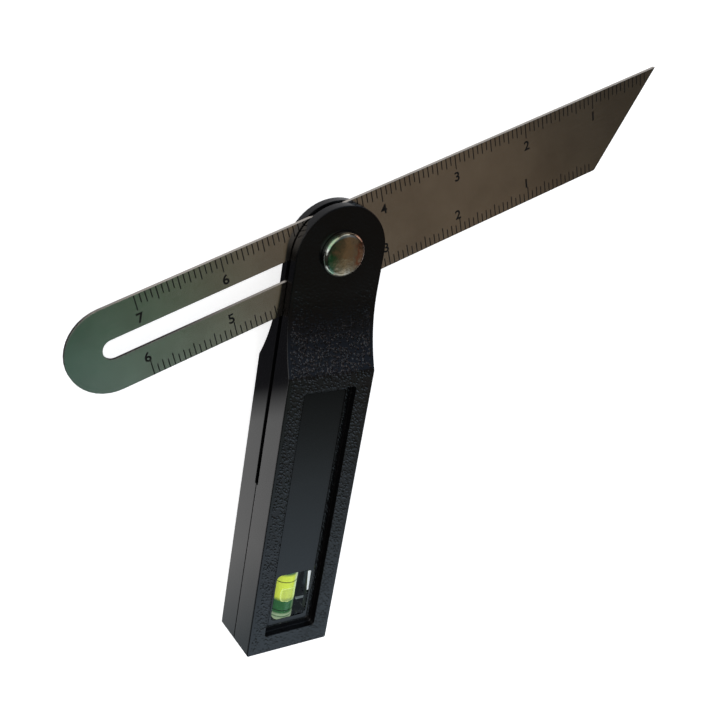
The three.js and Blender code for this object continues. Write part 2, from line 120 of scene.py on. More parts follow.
# One operation on sockets, or on a socket and a number
def maths(tree, operation, *terms):
    settings = {i: term for i, term in enumerate(terms) if isinstance(term, float)}
    links = {i: term for i, term in enumerate(terms) if not isinstance(term, float)}
    return addNode(tree, "ShaderNodeMath", {"operation": operation, **settings}, links).outputs["Value"]


def bump(tree, height, strength, distance, normal=None):
    links = {"Height": height, "Normal": normal} if normal else {"Height": height}
    return addNode(tree, "ShaderNodeBump", {"Strength": strength, "Distance": distance}, links).outputs["Normal"]


# Edges that look rounded by this radius
def roundEdge(tree, radius, normal):
    return addNode(tree, "ShaderNodeBevel", {"samples": 4, "Radius": radius}, {"Normal": normal}).outputs["Normal"]


# The six sides of a box whose lower corners are points 0 to 3 and upper ones 4 to 7
boxFaces = ((3, 2, 1, 0), (4, 5, 6, 7), (0, 1, 5, 4), (1, 2, 6, 5), (2, 3, 7, 6), (3, 0, 4, 7))


# A mesh of its own that rides on a body and may stand for CAD nodes
def newPiece(name, points, faces, body, slot, material, replaced=()):
    mesh = bpy.data.meshes.new(name)
    mesh.from_pydata([tuple(p) for p in points], [], faces)
    mesh.update()
    return placePiece(name, mesh, body, material, replaced)


def placePiece(name, mesh, body, material, replaced=()):
    piece = bpy.data.objects.new(name, mesh)
    bpy.context.scene.collection.objects.link(piece)
    mesh.materials.clear()
    mesh.materials.append(material)
    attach(piece, body)
    if replaced:
        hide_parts(*replaced)
    return piece


# Smooth shading with sharp edges above an angle
def smoothByAngle(mesh, degrees):
    working = bmesh.new()
    working.from_mesh(mesh)
    bmesh.ops.remove_doubles(working, verts=working.verts, dist=weld)
    bmesh.ops.recalc_face_normals(working, faces=working.faces)
    limit = math.radians(degrees)
    for face in working.faces:
        face.smooth = True
    for edge in working.edges:
        edge.smooth = len(edge.link_faces) == 2 and edge.calc_face_angle(0) < limit
    working.to_mesh(mesh)
    working.free()


# The CAD node's own form with clean smooth shading
def refined(node, body, material, degrees=35):
    mesh = nodes[node].data.copy()
    working = bmesh.new()
    working.from_mesh(mesh)
    bmesh.ops.remove_doubles(working, verts=working.verts, dist=weld)
    bmesh.ops.dissolve_limit(
        working, angle_limit=flatLimit, verts=working.verts, edges=working.edges,
    )
    working.to_mesh(mesh)
    working.free()
    for attribute in [a.name for a in mesh.attributes if "normal" in a.name.lower()]:
        mesh.attributes.remove(mesh.attributes[attribute])
    smoothByAngle(mesh, degrees)
    piece = placePiece(node + "_skin", mesh, body, material, [node])
    weighted = piece.modifiers.new("even normals", "WEIGHTED_NORMAL")
    weighted.keep_sharp = True
    weighted.weight = 100
    return piece


# Points and faces of a profile of radius and height turned about +Z, then placed
def turnedPoints(profile, steps, place):
    points, faces, rows = [], [], []
    for radius, height in profile:
        if radius == 0:
            rows.append([len(points)] * steps)
            points.append(place @ Vector((0, 0, height)))
            continue
        rows.append(list(range(len(points), len(points) + steps)))
        for i in range(steps):
            turn = 2 * math.pi * i / steps
            points.append(place @ Vector((radius * math.cos(turn), radius * math.sin(turn), height)))
    for low, high in zip(rows, rows[1:]):
        for i in range(steps):
            j = (i + 1) % steps
            face = []
            for index in (low[i], low[j], high[j], high[i]):
                if index not in face:
                    face.append(index)
            if len(face) > 2:
                faces.append(face)
    return points, faces


print("stage: tools ready")


# Materials

# Where most of a noise's values lie
noiseCore = (0.3, 0.7)

plastic = {
    "base": "#060607",
    # Painted highlight colour for the grain's tops, standing for glints
    "paintedGlint": "#27333f",
    "paintedGlintShare": (0.5, 0.9),
    "rough": 0.21,
    "roughBelow": 0.04,
    "roughAbove": 0.05,
    "ior": 1.5,
    "cloudSize": 14 * mm,
    "fineSize": 0.16 * mm,
    "fineDepth": 0.005 * mm,
    "grainSize": 0.86 * mm,
    "grainDepth": 0.29 * mm,
    "grainTurn": math.radians(-52),
    "grainStretch": (1.35, 0.72, 1.0),
    "grainSoftness": 0.35,
    "grainRise": (0.1, 0.62),
    "warpSize": 1.4 * mm,
    "warpDepth": 0.9 * mm,
    "spotSize": 3.2 * mm,
    "spotSpan": (0.32, 0.62),
    "spotShare": 0.55,
    # Distances from the bolt over which gloss and grain grow to their full strength
    "bolt": (0, 0.0887, 0.0127),
    "glossReach": (16.0 * mm, 54.0 * mm),
    "glossRange": (0.3, 0.5),
    "calmReach": (14.0 * mm, 41.0 * mm),
    "calmShare": 0.06,
    # Half width without grain at the side edges, and the start of the swept neck
    "insetEdge": (13.6 * mm, 13.1 * mm),
    "neckStart": (47.5 * mm, 52.0 * mm),
    "frameShare": 0.24,
    "outward": (0.6, 0.8),
    "edgeRadius": 0.32 * mm,
}


def mouldedPlastic():
    # Injection moulded ABS: near black, satin, with a soft broad sheen.
    # The front and rear are textured in the mould like leather, the sides only faintly.
    material, tree = newMaterial("moulded ABS, leather grain")
    place = coordinates(tree, "Object")
    fine = noise(tree, place, plastic["fineSize"], 3.0, 0.6)
    cloudy = noise(tree, place, plastic["cloudSize"], 4.0, 0.55)
    roughRange = (plastic["rough"] - plastic["roughBelow"], plastic["rough"] + plastic["roughAbove"])
    rough = mapRange(tree, cloudy, noiseCore, roughRange)
    fromBolt = addNode(tree, "ShaderNodeVectorMath", {
        "operation": "DISTANCE", 1: plastic["bolt"],
    }, {0: place}).outputs["Value"]
    gloss = mapRange(tree, fromBolt, plastic["glossReach"], plastic["glossRange"])
    # Uneven pebbles, stretched along one slanting direction
    warp = noise(tree, place, plastic["warpSize"], 2.0, output="Color")
    bent = addNode(tree, "ShaderNodeVectorMath", {
        "operation": "MULTIPLY_ADD", 1: (plastic["warpDepth"],) * 3,
    }, {0: warp, 2: place})
    turned = addNode(tree, "ShaderNodeMapping", {
        "vector_type": "TEXTURE", "Rotation": (0, 0, plastic["grainTurn"]), "Scale": plastic["grainStretch"],
    }, {"Vector": bent.outputs["Vector"]})
    cells = addNode(tree, "ShaderNodeTexVoronoi", {
        "feature": "SMOOTH_F1", "Scale": 1 / plastic["grainSize"], "Smoothness": plastic["grainSoftness"],
    }, {"Vector": turned.outputs["Vector"]})
    pebble = mapRange(tree, cells.outputs["Distance"], plastic["grainRise"], (1.0, 0.0), True)
    spots = noise(tree, place, plastic["spotSize"], 2.0)
    patchy = mapRange(tree, spots, plastic["spotSpan"], (plastic["spotShare"], 1.0))
    grain = maths(tree, "MULTIPLY", pebble, patchy)
    # The grain stops short of the side edges and calms round the bolt
    parts = splitVector(tree, place)
    inset = mapRange(tree, maths(tree, "ABSOLUTE", parts["X"]), plastic["insetEdge"], (0.0, 1.0), True)
    calm = mapRange(tree, fromBolt, plastic["calmReach"], (plastic["calmShare"], 1.0), True)
    frameZone = mapRange(tree, parts["Y"], plastic["neckStart"], (plastic["frameShare"], 1.0), True)
    # Only faces that look away from the parting plane have grain
    faceOn = splitVector(tree, coordinates(tree, "Normal"))
    side = maths(tree, "SIGN", maths(tree, "SUBTRACT", parts["Z"], pivot.z))
    facing = mapRange(tree, maths(tree, "MULTIPLY", faceOn["Z"], side), plastic["outward"], (0.0, 1.0))
    for mask in (inset, calm, frameZone, facing):
        grain = maths(tree, "MULTIPLY", grain, mask)
    normal = bump(tree, grain, 1.0, plastic["grainDepth"], bump(tree, fine, 0.5, plastic["fineDepth"]))
    # Painted highlight: the grain's tops are painted paler than its valleys, to stand for glints
    valleys, tops = plastic["paintedGlintShare"]
    tone = colourRamp(tree, grain, [
        (valleys, linearColour(plastic["base"])), (tops, linearColour(plastic["paintedGlint"])),
    ])
    shader = addNode(tree, "ShaderNodeBsdfPrincipled", {"IOR": plastic["ior"]}, {
        "Base Color": tone, "Roughness": rough, "Specular IOR Level": gloss,
        "Normal": roundEdge(tree, plastic["edgeRadius"], normal),
    })
    showSurface(tree, shader.outputs["BSDF"])
    return material


label = {
    "colour": "#060708",
    "rough": 0.22,
    "ior": 1.5,
    "waveSize": 9 * mm,
    "waveDepth": 0.05 * mm,
    "sheenFadeAlong": (50 * mm, 12 * mm),
    "sheen": (0.16, 0.5),
}


def labelFilm():
    # Printed polyester film: smooth, near black, a clearer sheen than the moulding round it.
    material, tree = newMaterial("printed polyester film")
    place = coordinates(tree, "Object")
    wave = noise(tree, place, label["waveSize"], 2.0)
    # Painted shade on its sheen: the sheen is made weaker towards the neck
    sheen = mapRange(tree, splitVector(tree, place)["Y"], label["sheenFadeAlong"], label["sheen"])
    shader = addNode(tree, "ShaderNodeBsdfPrincipled", {
        "Base Color": linearColour(label["colour"]), "Roughness": label["rough"], "IOR": label["ior"],
    }, {"Normal": bump(tree, wave, 0.25, label["waveDepth"]), "Specular IOR Level": sheen})
    showSurface(tree, shader.outputs["BSDF"])
    return material


acrylic = {
    "rough": 0.04,
    "ior": 1.49,
    "panel": ("#f8faf9", 0.35),
    "lens": ("#eef3f2", 1.0),
    "vial": ("#fafcf5", 0.35),
}


def clearAcrylic(name, tint, shine):
    # Cast acrylic: lets light straight through and shows by its reflections and pale edges.
    material, tree = newMaterial(name)
    clear = addNode(tree, "ShaderNodeBsdfTransparent", {"Color": linearColour(tint)})
    gloss = addNode(tree, "ShaderNodeBsdfGlossy", {"Roughness": acrylic["rough"]})
    rim = addNode(tree, "ShaderNodeFresnel", {"IOR": acrylic["ior"]})
    inside = addNode(tree, "ShaderNodeNewGeometry").outputs["Backfacing"]
    outside = addNode(tree, "ShaderNodeMath", {"operation": "MULTIPLY_ADD", 1: -shine, 2: shine}, {0: inside})
    amount = addNode(tree, "ShaderNodeMath", {"operation": "MULTIPLY", "use_clamp": True}, {
        0: rim.outputs["Fac"], 1: outside.outputs["Value"],
    })
    mix = addNode(tree, "ShaderNodeMixShader", links={
        0: amount.outputs["Value"], 1: clear.outputs["BSDF"], 2: gloss.outputs["BSDF"],
    })
    showSurface(tree, mix.outputs["Shader"])
    return material


steel = {
    "bright": "#cbc4ba",
    "dull": "#bcb4aa",
    "toneSpan": (0.35, 0.65),
    "blotchSize": 16 * mm,
    "rough": 0.16,
    "roughBelow": 0.05,
    "roughAbove": 0.08,
    "brushWidth": 0.05 * mm,
    "brushLength": 9 * mm,
    "brushDepth": 0.004 * mm,
    "brushSpan": (0.25, 0.75),
    "anisotropic": 0.5,
    "edgeRadius": 0.12 * mm,
}


def brushedSteel():
    # Rolled stainless steel with a fine lengthwise brush: warm grey, and it mirrors the room softly.
    material, tree = newMaterial("brushed stainless steel")
    place = coordinates(tree, "Object")
    along = addNode(tree, "ShaderNodeMapping", {
        "vector_type": "TEXTURE",
        "Location": tuple(pivot), "Rotation": (0, 0, bladeTilt),
        "Scale": (steel["brushLength"], steel["brushWidth"], steel["brushWidth"]),
    }, {"Vector": place})
    brush = noise(tree, along.outputs["Vector"], 1.0, 4.0, 0.65)
    blotch = noise(tree, place, steel["blotchSize"], 5.0, 0.6)
    low, high = steel["toneSpan"]
    colour = colourRamp(tree, blotch, [(low, linearColour(steel["dull"])), (high, linearColour(steel["bright"]))])
    roughRange = (steel["rough"] - steel["roughBelow"], steel["rough"] + steel["roughAbove"])
    rough = mapRange(tree, brush, steel["brushSpan"], roughRange)
    normal = roundEdge(tree, steel["edgeRadius"], bump(tree, brush, 0.25, steel["brushDepth"]))
    across = addNode(tree, "ShaderNodeCombineXYZ", {
        "X": -math.sin(bladeTilt), "Y": math.cos(bladeTilt),
    })
    tangent = addNode(tree, "ShaderNodeVectorTransform", {
        "vector_type": "VECTOR", "convert_from": "OBJECT", "convert_to": "WORLD",
    }, {"Vector": across.outputs["Vector"]})
    shader = addNode(tree, "ShaderNodeBsdfPrincipled", {
        "Metallic": 1.0, "Anisotropic": steel["anisotropic"],
    }, {
        "Base Color": colour, "Roughness": rough, "Normal": normal, "Tangent": tangent.outputs["Vector"],
    })
    showSurface(tree, shader.outputs["BSDF"])
    return material


def plainMaterial(name, code, settings):
    material, tree = newMaterial(name)
    shader = addNode(tree, "ShaderNodeBsdfPrincipled", {"Base Color": linearColour(code), **settings})
    showSurface(tree, shader.outputs["BSDF"])
    return material


clamp = {
    "headRadius": 6.7 * mm,
    "headHeight": 2.4 * mm,
    "crownRadius": 5.4 * mm,
    "crownEdge": 2.1 * mm,
    "rim": 0.8 * mm,
    "chamfer": 0.25 * mm,
    "seat": 3.5 * mm,
    "shank": 2.45 * mm,
    "length": 16.0 * mm,
    "turnSteps": 96,
    "pitch": 0.8 * mm,
    "levelsPerPitch": 8,
    "threadDepth": 0.42 * mm,
    "threadSteps": 40,
    "taper": 0.4 * mm,
    "taperLength": 0.5 * mm,
    "neck": 5.0 * mm,
    "neckDepth": 2.2 * mm,
    "neckTop": 0.1 * mm,
    "overlap": 0.01 * mm,
}

plating = {
    "rough": 0.12,
    "dentSize": 2.4 * mm,
    "dentDepth": 0.13 * mm,
    "cloudSize": 3.0 * mm,
    "cloudShare": 0.7,
    "drift": (-0.35, 0.65),
    # Painted reflections of the room, from the head's left to its right
    "paintedReflections": [
        (0.0, "#a9aca6"), (0.16, "#64826a"), (0.27, "#8d8672"), (0.5, "#c2ad90"),
        (0.72, "#b3a898"), (0.86, "#b8826c"), (1.0, "#cfc8bd"),
    ],
}


def polishedSteel():
    # Nickel plated bolt head: a mirror with small dents. The green, brown and red of the room's reflection are
    # painted into its colour across the head.
    material, tree = newMaterial("nickel plating with painted reflections")
    place = coordinates(tree, "Object")
    uneven = noise(tree, place, plating["dentSize"], 3.0, 0.6)
    cloudy = noise(tree, place, plating["cloudSize"], 3.0, 0.6)
    headSpan = (-clamp["headRadius"], clamp["headRadius"])
    across = mapRange(tree, splitVector(tree, place)["X"], headSpan, plating["drift"])
    mixed = addNode(tree, "ShaderNodeMath", {"operation": "MULTIPLY_ADD", 1: plating["cloudShare"]}, {
        0: cloudy, 2: across,
    })
    colour = colourRamp(tree, mixed.outputs["Value"], [
        (share, linearColour(code)) for share, code in plating["paintedReflections"]
    ])
    shader = addNode(tree, "ShaderNodeBsdfPrincipled", {
        "Metallic": 1.0, "Roughness": plating["rough"],
    }, {"Base Color": colour, "Normal": bump(tree, uneven, 0.7, plating["dentDepth"])})
    showSurface(tree, shader.outputs["BSDF"])
    return material


zincCoat = {
    "colour": "#b9bcbf",
    "rough": (0.24, 0.4),
    "mottleSize": 1.5 * mm,
    "mottleDepth": 0.02 * mm,
    "edgeRadius": 0.25 * mm,
}


def zincPlating():
    # Zinc plated steel: pale blue-grey, slightly milky.
    material, tree = newMaterial("zinc plated steel")
    mottle = noise(tree, coordinates(tree, "Object"), zincCoat["mottleSize"], 4.0, 0.6)
    rough = mapRange(tree, mottle, noiseCore, zincCoat["rough"])
    normal = roundEdge(tree, zincCoat["edgeRadius"], bump(tree, mottle, 0.3, zincCoat["mottleDepth"]))
    shader = addNode(tree, "ShaderNodeBsdfPrincipled", {
        "Base Color": linearColour(zincCoat["colour"]), "Metallic": 1.0,
    }, {"Roughness": rough, "Normal": normal})
    showSurface(tree, shader.outputs["BSDF"])
    return material


liquid = {
    # Emission that paints the spirit's light
    "glow": 0.62,
    "rough": 0.12,
    "ior": 1.36,
    "low": -10 * mm,
    "high": 10 * mm,
    "colours": {"lit": "#d0dc50", "shaded": "#2a5c34", "wall": "#a8b89c", "gap": "#48684a"},
    # Where each colour stands, in mm from the vial's middle towards the handle's head. All of it is painted light:
    # pale streaks of the end wall, the spirit in painted shade, the spirit painted lit as by the side lens, the far
    # wall
    "zones": [
        (-9.0, "wall"), (-8.5, "gap"), (-8.0, "wall"), (-7.0, "shaded"), (-2.5, "shaded"),
        (-1.0, "lit"), (7.0, "lit"), (8.0, "gap"),
    ],
    "pale": "#d2e0bc",
    "paleFacing": (0.3, 0.55),
    "paleShare": 0.85,
    "unlitBelow": -3 * mm,
    "unlitShare": 0.2,
}


def vialLiquid():
    # Dyed spirit with painted light: painted yellow-green where the side window lights it and bottle green past it,
    # and glowing by emission.
    # The round wall spreads it over the vial's width, with painted pale streaks at the end walls.
    material, tree = newMaterial("dyed spirit with painted light")
    parts = splitVector(tree, coordinates(tree, "Object"))
    low, high = liquid["low"], liquid["high"]
    along = mapRange(tree, parts["Y"], (vialMiddle.y + low, vialMiddle.y + high), (0.0, 1.0))
    banded = colourRamp(tree, along, [
        ((offset * mm - low) / (high - low), linearColour(liquid["colours"][zone]))
        for offset, zone in liquid["zones"]
    ])
    # Painted highlight: the wall's right side is painted pale where it is seen edge-on
    face = splitVector(tree, coordinates(tree, "Normal"))
    edgeOn = mapRange(tree, face["X"], liquid["paleFacing"], (0.0, liquid["paleShare"]), True)
    litSpan = (vialMiddle.y + liquid["unlitBelow"], vialMiddle.y)
    lit = mapRange(tree, parts["Y"], litSpan, (liquid["unlitShare"], 1.0))
    pale = addNode(tree, "ShaderNodeMix", {"data_type": "RGBA", "blend_type": "MIX"})
    tree.links.new(maths(tree, "MULTIPLY", edgeOn, lit), pale.inputs[0])
    tree.links.new(banded, pale.inputs[6])
    pale.inputs[7].default_value = linearColour(liquid["pale"])
    colour = pale.outputs[2]
    shader = addNode(tree, "ShaderNodeBsdfPrincipled", {
        "Roughness": liquid["rough"], "IOR": liquid["ior"], "Emission Strength": liquid["glow"],
    }, {"Base Color": colour, "Emission Color": colour})
    showSurface(tree, shader.outputs["BSDF"])
    return material


airLook = {
    "middle": (0.5, 0.5, 0.0),
    "squareness": 4.0,
    "colour": "#dfe9a0",
    "rough": 0.1,
    # Emission that paints the bubble's light
    "glow": 0.5,
    "rimStart": (0.026, 0.052),
    "cover": (0.16, 0.6),
}


def bubbleAir():
    # Air in the dyed spirit, painted a little paler than the spirit round it and glowing by emission, with a painted
    # bright rim.
    material, tree = newMaterial("air bubble")
    fromMiddle = addNode(tree, "ShaderNodeVectorMath", {
        "operation": "SUBTRACT", 1: airLook["middle"],
    }, {0: coordinates(tree, "Generated")})
    parts = splitVector(tree, fromMiddle.outputs["Vector"])
    powers = [
        maths(tree, "POWER", maths(tree, "ABSOLUTE", parts[axis]), airLook["squareness"]) for axis in ("X", "Y")
    ]
    rim = mapRange(tree, maths(tree, "ADD", *powers), airLook["rimStart"], airLook["cover"], True)
    clear = addNode(tree, "ShaderNodeBsdfTransparent", {"Color": grey(1)})
    pale = addNode(tree, "ShaderNodeBsdfPrincipled", {
        "Base Color": linearColour(airLook["colour"]), "Roughness": airLook["rough"],
        "Emission Color": linearColour(airLook["colour"]), "Emission Strength": airLook["glow"],
    })
    mix = addNode(tree, "ShaderNodeMixShader", links={0: rim, 1: clear.outputs["BSDF"], 2: pale.outputs["BSDF"]})
    showSurface(tree, mix.outputs["Shader"])
    return material


def ringPaint():
    # Thin dark ring printed round the vial, with the spirit's glow through it.
    material, tree = newMaterial("vial ring ink")
    cover = 0.45
    clear = addNode(tree, "ShaderNodeBsdfTransparent", {"Color": grey(1)})
    ink = addNode(tree, "ShaderNodeBsdfDiffuse", {"Color": linearColour("#1d2a10")})
    mix = addNode(tree, "ShaderNodeMixShader", {0: cover}, {1: clear.outputs["BSDF"], 2: ink.outputs["BSDF"]})
    showSurface(tree, mix.outputs["Shader"])
    return material


def daylit(name, code, glow):
    # Painted light: parts beside the vial glow by emission, standing in for the light of the side lens.
    colour = linearColour(code)
    return plainMaterial(name, code, {"Roughness": 0.25, "Emission Color": colour, "Emission Strength": glow})


moulding = mouldedPlastic()
film = labelFilm()
panelAcrylic = clearAcrylic("clear acrylic panel", *acrylic["panel"])
lensAcrylic = clearAcrylic("clear acrylic lens", *acrylic["lens"])
tubeAcrylic = clearAcrylic("clear acrylic vial", *acrylic["vial"])
bladeSteel = brushedSteel()
# Etched and blackened marks: dull, dark brown-black
inkBlack = plainMaterial("blackened etching", "#0d0b09", {"Roughness": 0.6, "Specular IOR Level": 0.2})
nickel = polishedSteel()
zinc = zincPlating()
# Nylon sheet: dull black
nylon = plainMaterial("black nylon", "#141414", {"Roughness": 0.55})
spirit = vialLiquid()
air = bubbleAir()
ringInk = ringPaint()
# Painted light: a glowing strip and a glowing rib beside the vial
paintedHighlightFlange = daylit("daylit acrylic flange", "#dae0e4", 0.6)
paintedLightRib = daylit("daylit ABS rib", "#5b6166", 0.7)
print("stage: materials ready")


# Handle, its panel, label and lens

refined("front_shell", "handle", moulding)
refined("rear_shell", "handle", moulding)
refined("window_panel", "handle", panelAcrylic)
refined("label_plate", "handle", film)
refined("side_lens", "handle", lensAcrylic)
for number in range(1, 5):
    refined(f"shell_screw_{number}", "handle", zinc, 40)
print("stage: handle ready")


# Blade and its graduations

blade = {
    "toTip": 118.1 * mm,
    "width": 25.4 * mm,
    "top": 0.5 * mm,
    "inch": 25.4 * mm,
    "inkHeight": 0.012 * mm,
    "inkGap": 0.002 * mm,
    "edgeGap": 0.05 * mm,
    "lineWidth": 0.31 * mm,
    # Line lengths: 16 marks a sixteenth of an inch, 1 a whole one
    "lengths": {16: 2.9 * mm, 8: 3.4 * mm, 4: 4.0 * mm, 1: 4.7 * mm},
    # How far each row's zero lies back from the point, and the row's last inch
    "upperStart": -0.4 * mm,
    "lowerStart": 25.75 * mm,
    "upperEnd": 7,
    "lowerEnd": 6,
    # The first sixteenth that still lies on the blade
    "upperFirst": 3,
    "lowerFirst": 1,
    "digitHeight": 3.0 * mm,
    # Height of a digit as a share of the font's size
    "capShare": 0.729,
    "digitWeight": 0.085 * mm,
    "upperDigits": 5.5 * mm,
    "lowerDigits": -6.75 * mm,
    "lowerDigitShift": -0.45 * mm,
}
onBlade = Matrix.Translation(pivot) @ Matrix.Rotation(bladeTilt, 4, "Z")


def tickLength(sixteenths):
    for share, length in ((16, blade["lengths"][1]), (4, blade["lengths"][4]), (2, blade["lengths"][8])):
        if sixteenths % share == 0:
            return length
    return blade["lengths"][16]


def bladeMarks():
    points, faces = [], []

    def bar(x0, x1, y0, y1):
        first = len(points)
        low, high = blade["top"] + blade["inkGap"], blade["top"] + blade["inkHeight"]
        for z in (low, high):
            points.extend(onBlade @ Vector(p) for p in ((x0, y0, z), (x1, y0, z), (x1, y1, z), (x0, y1, z)))
        faces.extend([first + i for i in face] for face in boxFaces)

    half = blade["width"] / 2
    for edge, start, firstLine, end in (
        (1, blade["upperStart"], blade["upperFirst"], blade["upperEnd"]),
        (-1, blade["lowerStart"], blade["lowerFirst"], blade["lowerEnd"]),
    ):
        for i in range(firstLine, end * 16 + 1):
            x = blade["toTip"] - start - i * blade["inch"] / 16
            length = tickLength(i)
            ends = sorted((edge * (half - blade["edgeGap"]), edge * (half - length)))
            bar(x - blade["lineWidth"] / 2, x + blade["lineWidth"] / 2, *ends)
    return points, faces


def digitMesh(text):
    curve = bpy.data.curves.new("digit", "FONT")
    curve.body = text
    curve.align_x = "CENTER"
    curve.align_y = "CENTER"
    curve.size = blade["digitHeight"] / blade["capShare"]
    curve.offset = blade["digitWeight"]
    curve.extrude = blade["inkHeight"] / 2
    curve.resolution_u = 4
    holder = bpy.data.objects.new("digit", curve)
    bpy.context.scene.collection.objects.link(holder)
    bpy.context.view_layer.update()
    mesh = bpy.data.meshes.new_from_object(holder)
    bpy.data.objects.remove(holder)
    return mesh


refined("blade", "blade", bladeSteel)
points, faces = bladeMarks()
for start, end, height, aside in (
    (blade["upperStart"], blade["upperEnd"], blade["upperDigits"], 0),
    (blade["lowerStart"], blade["lowerEnd"], blade["lowerDigits"], blade["lowerDigitShift"]),
):
    for inch in range(1, end + 1):
        mesh = digitMesh(str(inch))
        x = blade["toTip"] - start - inch * blade["inch"] + aside
        shift = Vector((x, height, blade["top"] + blade["inkHeight"] / 2))
        first = len(points)
        points.extend(onBlade @ (v.co + shift) for v in mesh.vertices)
        faces.extend([first + i for i in polygon.vertices] for polygon in mesh.polygons)
newPiece("blade_marks", points, faces, "blade", "blade_steel", inkBlack)
print("stage: blade ready")


# Vial, laid along Y with its bubble to the front

vial = {
    "radius": 4.2 * mm,
    "half": 10.05 * mm,
    "lowEdge": 0.4 * mm,
    "highEdge": 1.0 * mm,
    # The spirit as the tube magnifies it
    "seen": 4.03 * mm,
    "seenLow": -9.95 * mm,
    "seenHigh": 9.8 * mm,
    "seenLowEdge": 0.35 * mm,
    "seenHighEdge": 0.9 * mm,
    "rings": (5.0 * mm, -6.05 * mm),
    "ringWidth": 0.3 * mm,
    "ringAbove": 0.02 * mm,
    "ringBelow": 0.03 * mm,
    "steps": 72,
}
alongVial = Matrix.Translation(vialMiddle) @ Matrix.Rotation(-math.pi / 2, 4, "X")


# Profile of a rod with rounded rims
def roundedRod(radius, low, high, lowEdge, highEdge, steps=5):
    profile = [(0, low)]
    for i in range(steps + 1):
        turn = math.pi / 2 * i / steps
        profile.append((radius - lowEdge + lowEdge * math.sin(turn), low + lowEdge - lowEdge * math.cos(turn)))
    for i in range(steps + 1):
        turn = math.pi / 2 * i / steps
        profile.append((radius - highEdge + highEdge * math.cos(turn), high - highEdge + highEdge * math.sin(turn)))
    profile.append((0, high))
    return profile


tubePoints, tubeFaces = turnedPoints(
    roundedRod(vial["radius"], -vial["half"], vial["half"], vial["lowEdge"], vial["highEdge"]),
    vial["steps"], alongVial,
)
tube = newPiece("vial_tube_skin", tubePoints, tubeFaces, "handle", "clear_plastic", tubeAcrylic, ["vial_tube"])
smoothByAngle(tube.data, 50)

spiritPoints, spiritFaces = turnedPoints(
    roundedRod(vial["seen"], vial["seenLow"], vial["seenHigh"], vial["seenLowEdge"], vial["seenHighEdge"], 8),
    vial["steps"], alongVial,
)
spiritPiece = newPiece(
    "vial_liquid_skin", spiritPoints, spiritFaces, "handle", "vial_liquid", spirit, ["vial_liquid"],
)
smoothByAngle(spiritPiece.data, 60)
for number, offset in enumerate(vial["rings"]):
    outer = vial["radius"] + vial["ringAbove"]
    inner = vial["radius"] - vial["ringBelow"]
    half = vial["ringWidth"] / 2
    points, faces = turnedPoints([
        (inner, offset - half), (outer, offset - half), (outer, offset + half),
        (inner, offset + half), (inner, offset - half),
    ], vial["steps"], alongVial)
    ring = newPiece(f"vial_ring_{number + 1}", points, faces, "handle", "vial_liquid", ringInk)
    smoothByAngle(ring.data, 40)

# The bubble as the tube magnifies it, a rounded patch that slides between the spirit and the tube
bubble = {
    "length": 5.4 * mm,
    "turn": math.radians(40),
    "inner": 4.05 * mm,
    "outer": 4.13 * mm,
    "squareness": 4,
    "steps": 24,
}


# Two layers of the tube's curve inside a rounded outline, joined at their sides
def bubblePatch():
    points, faces = [], []
    rows = bubble["steps"] + 1
    for radius in (bubble["inner"], bubble["outer"]):
        for i in range(rows):
            along = -1 + 2 * i / bubble["steps"]
            wide = bubble["turn"] * max(0.0, 1 - along ** bubble["squareness"]) ** (1 / bubble["squareness"])
            for j in range(rows):
                turn = wide * (-1 + 2 * j / bubble["steps"])
                points.append(vialMiddle + Vector((
                    radius * math.sin(turn), along * bubble["length"] / 2, radius * math.cos(turn),
                )))
    layer = rows * rows
    for i in range(rows - 1):
        for j in range(rows - 1):
            a, b = i * rows + j, (i + 1) * rows + j
            faces.append([a, b, b + 1, a + 1])
            faces.append([layer + a, layer + a + 1, layer + b + 1, layer + b])
    for i in range(rows - 1):
        for j in (0, rows - 1):
            a, b = i * rows + j, (i + 1) * rows + j
            faces.append([a, layer + a, layer + b, b] if j == 0 else [a, b, layer + b, layer + a])
    return points, faces


bubblePiece = newPiece("vial_bubble_skin", *bubblePatch(), "bubble", "vial_air", air, ["vial_bubble"])
smoothByAngle(bubblePiece.data, 50)

# Painted light beside the vial: a glowing strip that stands for the side lens's lit flange under the panel's edge,
# and a glowing rib.
# Outlines and heights in mm
beside = {
    "flange": [(5.65, -23.0), (6.35, -30.6), (6.88, -30.6), (6.75, -23.0)],
    "flangeHeights": (14.96, 15.04),
    "rib": [(3.95, -34.5), (3.95, -34.9), (8.6, -34.9), (8.6, -34.5)],
    "ribHeights": (12.7, 13.4),
}


def upright(outline, heights):
    points = [Vector((x, y, z)) * mm for z in heights for x, y in outline]
    count = len(outline)
    faces = [list(range(count))[::-1], list(range(count, 2 * count))]
    for i in range(count):
        j = (i + 1) % count
        faces.append([i, j, count + j, count + i])
    return points, faces


newPiece("lens_flange_painted_highlight", *upright(beside["flange"], beside["flangeHeights"]), "handle", "clear_plastic", paintedHighlightFlange)
newPiece("pocket_rib", *upright(beside["rib"], beside["ribHeights"]), "handle", "moulded_plastic", paintedLightRib)
print("stage: vial ready")


# Clamp

# Rings whose radius follows a helix between crest and root
def threadedShank(low, high):
    points, faces = [], []
    steps = clamp["threadSteps"]
    levels = int((high - low) / (clamp["pitch"] / clamp["levelsPerPitch"]))
    for level in range(levels + 1):
        z = low + (high - low) * level / levels
        for i in range(steps):
            turn = 2 * math.pi * i / steps
            phase = (z / clamp["pitch"] + i / steps) % 1
            share = abs(phase - 0.5) * 2
            fade = min(1.0, (z - low) / clamp["pitch"], (high - z) / clamp["pitch"])
            radius = clamp["shank"] - clamp["threadDepth"] * share * fade
            radius -= clamp["taper"] * max(0.0, 1 - (z - low) / clamp["taperLength"])
            points.append(Vector((radius * math.cos(turn), radius * math.sin(turn), z)))
    for level in range(levels):
        for i in range(steps):
            j = (i + 1) % steps
            a, b = level * steps, (level + 1) * steps
            faces.append([a + i, a + j, b + j, b + i])
    faces.append(list(range(steps))[::-1])
    faces.append([levels * steps + i for i in range(steps)])
    return points, faces


